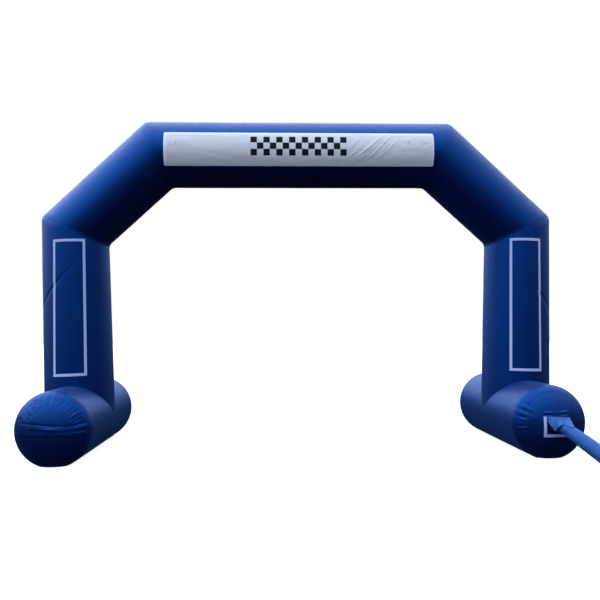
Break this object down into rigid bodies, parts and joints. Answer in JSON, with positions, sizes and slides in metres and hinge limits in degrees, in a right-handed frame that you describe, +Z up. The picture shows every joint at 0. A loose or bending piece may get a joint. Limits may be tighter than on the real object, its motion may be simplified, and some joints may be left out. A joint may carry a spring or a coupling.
{
  "type": "inflatable arch",
  "caption": "Inflated start arch of straight mitred air tubes on front-to-back foot tubes, with a banner on the crossbar, tape frames on the legs and an inlet sleeve.",
  "frame": {"origin": "on the ground, at the middle of the bounding box, which is the middle of the span", "axes": "+X across the span to the right seen from the front, +Y from the front to the back, +Z up"},
  "size_m": [7.0278, 3.6896, 4.474],
  "materials": {
    "air_cloth": "coated nylon, soft sheen",
    "cap_cloth": "coated nylon, soft sheen",
    "sleeve_cloth": "thin uncoated nylon",
    "banner_cloth": "matt coated sheet",
    "pale_tape": "woven tape"
  },
  "bodies": {
    "root": {"crossbar": "air_cloth", "diagonal_left": "air_cloth", "diagonal_right": "air_cloth", "leg_left": "air_cloth", "leg_right": "air_cloth", "foot_left": "air_cloth", "foot_right": "air_cloth", "cap_left_front": "cap_cloth", "cap_left_back": "cap_cloth", "cap_right_front": "cap_cloth", "cap_right_back": "cap_cloth", "vent_strip": "cap_cloth", "inlet_sleeve": "sleeve_cloth", "inlet_flap": "sleeve_cloth", "banner": "banner_cloth", "tape_left_top": "pale_tape", "tape_left_bottom": "pale_tape", "tape_left_inner": "pale_tape", "tape_left_outer": "pale_tape", "tape_right_top": "pale_tape", "tape_right_bottom": "pale_tape", "tape_right_inner": "pale_tape", "tape_right_outer": "pale_tape", "inlet_tape_left": "pale_tape", "inlet_tape_bottom": "pale_tape", "inlet_tape_right": "pale_tape"}
  },
  "joints": []
}
